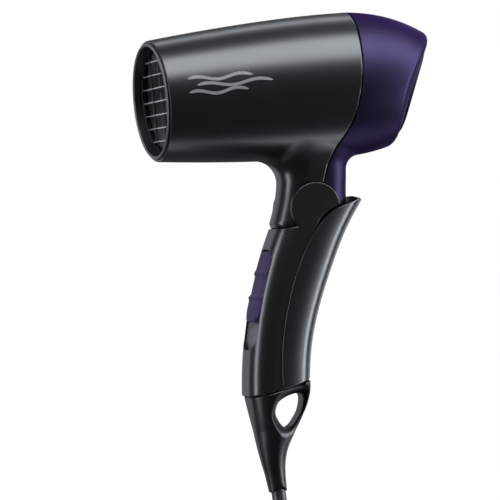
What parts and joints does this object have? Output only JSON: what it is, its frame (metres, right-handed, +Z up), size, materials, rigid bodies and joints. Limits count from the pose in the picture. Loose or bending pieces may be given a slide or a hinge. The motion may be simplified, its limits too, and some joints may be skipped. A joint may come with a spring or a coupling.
{
  "type": "travel hair dryer",
  "caption": "Folding travel hair dryer: tapered barrel with heater, motor and fan, pivoting on a curved handle with slide switch, hang loop and corded plug",
  "frame": {"origin": "middle of the hand grip, on the handle's mid plane", "axes": "+Z up along the standing handle, outlet faces -X, +X to the rear inlet, Y across the handle"},
  "size_m": [0.1385, 0.0861, 0.4029],
  "materials": {
    "black_shell": "satin",
    "purple_shell": "satin",
    "outlet_trim": "polished",
    "outlet_grille": "satin",
    "steel": "satin",
    "mica": "matte",
    "heater_wire": "satin",
    "black_inner": "matte",
    "circuit_board": "satin",
    "black_grille": "satin",
    "filter_mesh": "satin",
    "lead_insulation": "satin",
    "switch_panel": "matte",
    "soft_rubber": "matte",
    "cord_jacket": "satin",
    "tie_strap": "matte",
    "plug_plastic": "satin",
    "pin_metal": "polished"
  },
  "bodies": {
    "handle": {"handle_front_shell": "black_shell", "handle_rear_shell": "black_shell", "hinge_axle": "steel", "detent_spring": "steel", "switch_panel": "switch_panel", "switch_body": "black_inner", "cord_clamp": "black_inner", "clamp_screws": "steel", "handle_screw": "steel", "handle_leads": "lead_insulation", "hang_loop": "soft_rubber", "cord_lead": "cord_jacket", "cord_hank": "cord_jacket", "cord_tail": "cord_jacket", "cord_tie": "tie_strap", "plug_relief": "soft_rubber", "plug_body": "plug_plastic", "plug_pins": "pin_metal"},
    "head": {"front_housing": "black_shell", "rear_housing": "purple_shell", "outlet_ring": "outlet_trim", "outlet_grille": "outlet_grille", "nozzle_liner": "steel", "heater_boards": "mica", "heater_coils": "heater_wire", "thermostat": "steel", "thermal_fuse": "steel", "motor_mount": "black_inner", "motor_can": "steel", "rectifier_board": "circuit_board", "rear_grille": "black_grille", "inlet_filter": "filter_mesh", "hinge_knuckle": "steel", "head_leads": "lead_insulation"},
    "slider": {"switch_slider": "purple_shell", "switch_stem": "black_inner"},
    "rotor": {"fan_impeller": "black_inner", "motor_shaft": "steel"}
  },
  "joints": [
    {"name": "fold", "type": "hinge", "parent": "handle", "child": "head", "pos_m": [0.015, 0, 0.043], "axis": [0, -1, 0], "range_deg": [0, 70]},
    {"name": "switch_slide", "type": "slide", "parent": "handle", "child": "slider", "axis": [-0.3289, 0, -0.9444], "range_m": [0, 0.01]},
    {"name": "fan_spin", "type": "hinge", "parent": "head", "child": "rotor", "pos_m": [0.05, 0, 0.1], "axis": [1, 0, 0], "continuous": true}
  ]
}
